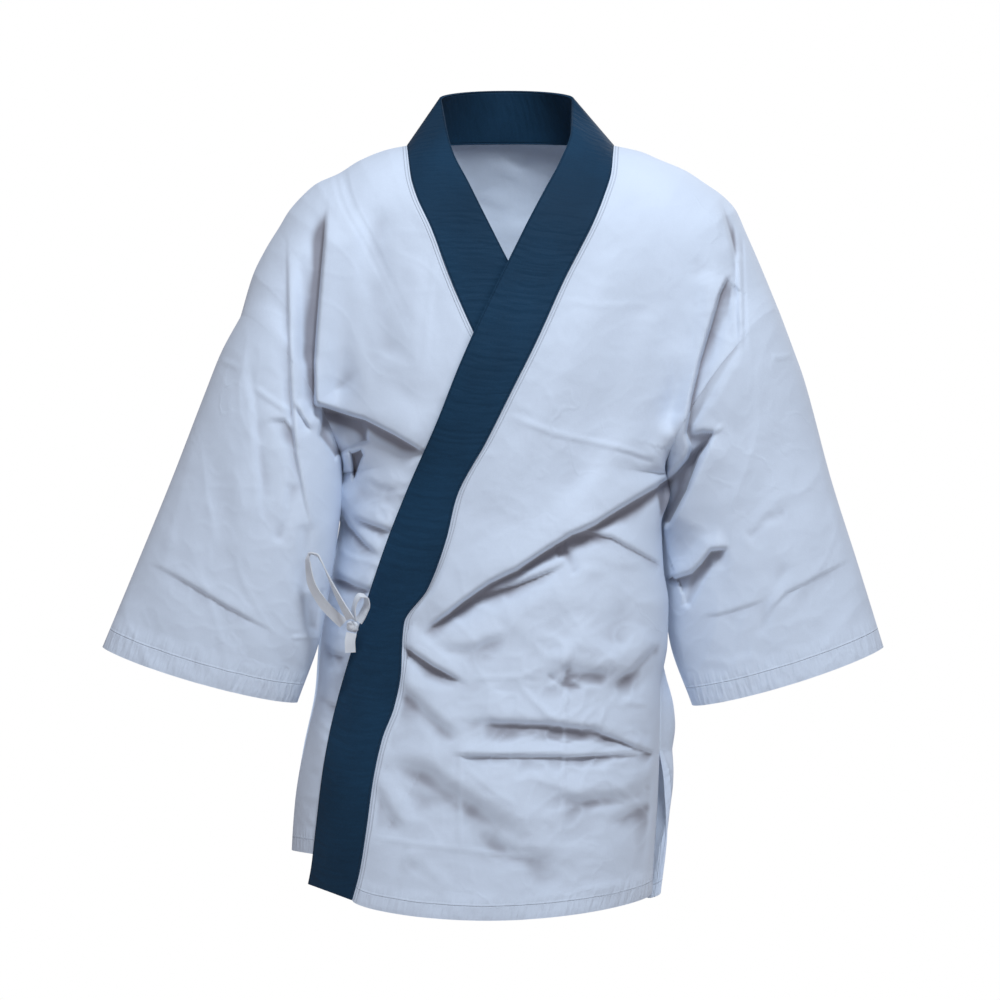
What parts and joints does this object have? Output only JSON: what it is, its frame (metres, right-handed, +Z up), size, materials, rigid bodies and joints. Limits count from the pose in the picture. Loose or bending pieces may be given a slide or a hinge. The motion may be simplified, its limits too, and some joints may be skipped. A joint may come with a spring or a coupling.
{
  "type": "happi coat",
  "caption": "Wrapped short coat, filled out as worn: white body and wide sleeves, a navy neck band crossing to the hem, side slits and a tape bow at the side.",
  "frame": {"origin": "midway between the two neck points, where the coat hangs on the wearer's shoulders", "axes": "+Z up, the wearer faces -Y, +X is the wearer's left"},
  "size_m": [0.7774, 0.2471, 0.8203],
  "materials": {
    "white_cloth": "matt plain-weave shirting",
    "navy_cloth": "matt twill, doubled and stiffened",
    "white_tape": "soft flat tape"
  },
  "bodies": {
    "root": {"back": "white_cloth", "front_left": "white_cloth", "front_right": "white_cloth", "sleeve_left": "white_cloth", "sleeve_right": "white_cloth", "neck_band": "navy_cloth", "tie_knot": "white_tape", "tie_loop_long": "white_tape", "tie_loop_short": "white_tape", "tie_tail_front": "white_tape"}
  },
  "joints": []
}
